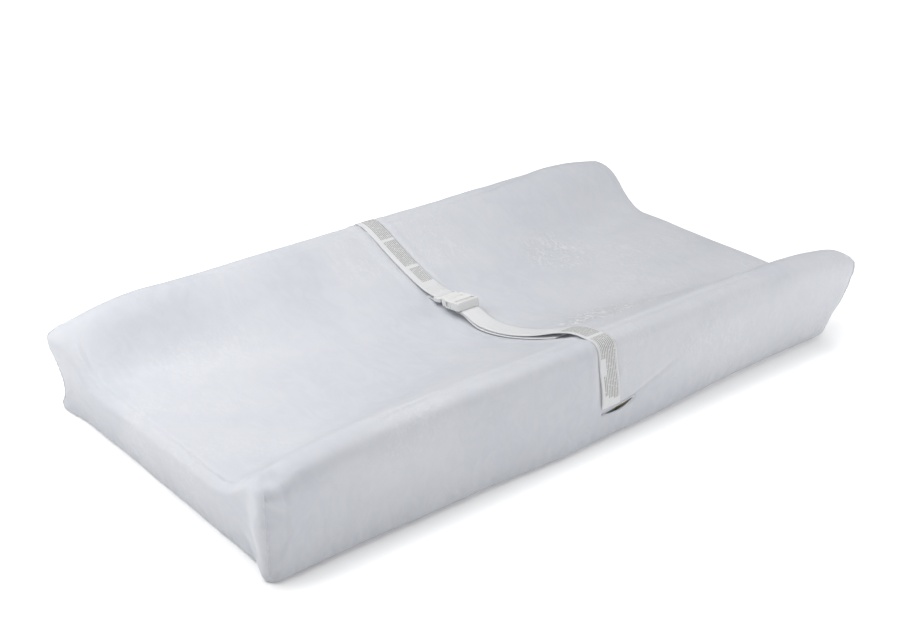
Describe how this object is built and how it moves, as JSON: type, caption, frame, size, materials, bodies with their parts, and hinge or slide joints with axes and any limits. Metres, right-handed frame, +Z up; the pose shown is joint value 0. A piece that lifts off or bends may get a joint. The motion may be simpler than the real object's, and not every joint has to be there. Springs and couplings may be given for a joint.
{
  "type": "changing pad",
  "caption": "Contoured foam changing pad in a fitted white plush cover, with a webbing safety belt that closes over the valley in a side-release buckle.",
  "frame": {"origin": "middle of the footprint, on the surface the pad lies on", "axes": "+X along the length; +Y across the width, towards the belt's plug half; +Z up"},
  "size_m": [0.806, 0.4276, 0.1177],
  "materials": {
    "plush": "short-pile white plush, soft sheen",
    "liner": "tan wipe-clean vinyl, satin",
    "foam": "open-cell foam, matte",
    "elastic": "braided flat elastic",
    "webbing": "flat woven webbing, matte",
    "thread": "sewing thread",
    "buckle": "moulded white plastic, semi-gloss"
  },
  "bodies": {
    "pad": {"foam_core": "foam", "liner_top_panel": "liner", "liner_side_band": "liner", "liner_base_panel": "liner", "liner_piping": "liner", "plush_cover": "plush", "cover_corner_seams": "plush", "cover_hem": "plush", "hem_elastic": "elastic", "near_slit_binding": "plush", "far_slit_binding": "plush", "near_anchor_patch": "webbing", "far_anchor_patch": "webbing", "anchor_stitching": "thread", "near_strap": "webbing", "far_strap": "webbing", "far_strap_stitching": "thread", "buckle_plug": "buckle"},
    "receptacle": {"buckle_receptacle": "buckle"},
    "left_arm": {"left_latch_arm": "buckle"},
    "right_arm": {"right_latch_arm": "buckle"}
  },
  "joints": [
    {"name": "buckle_release", "type": "slide", "parent": "pad", "child": "receptacle", "axis": [0, -0.9925, 0.1219], "range_m": [0, 0.026], "deforming": ["near_strap", "left_latch_arm", "right_latch_arm"]},
    {"name": "left_arm_pinch", "type": "hinge", "parent": "pad", "child": "left_arm", "pos_m": [-0.0034, 0.03992, 0.06972], "axis": [0, 0.1219, 0.9925], "range_deg": [0, 8.5], "stiffness_Nm_per_rad": 0.03},
    {"name": "right_arm_pinch", "type": "hinge", "parent": "pad", "child": "right_arm", "pos_m": [0.0174, 0.03992, 0.06972], "axis": [0, -0.1219, -0.9925], "range_deg": [0, 8.5], "stiffness_Nm_per_rad": 0.03}
  ]
}
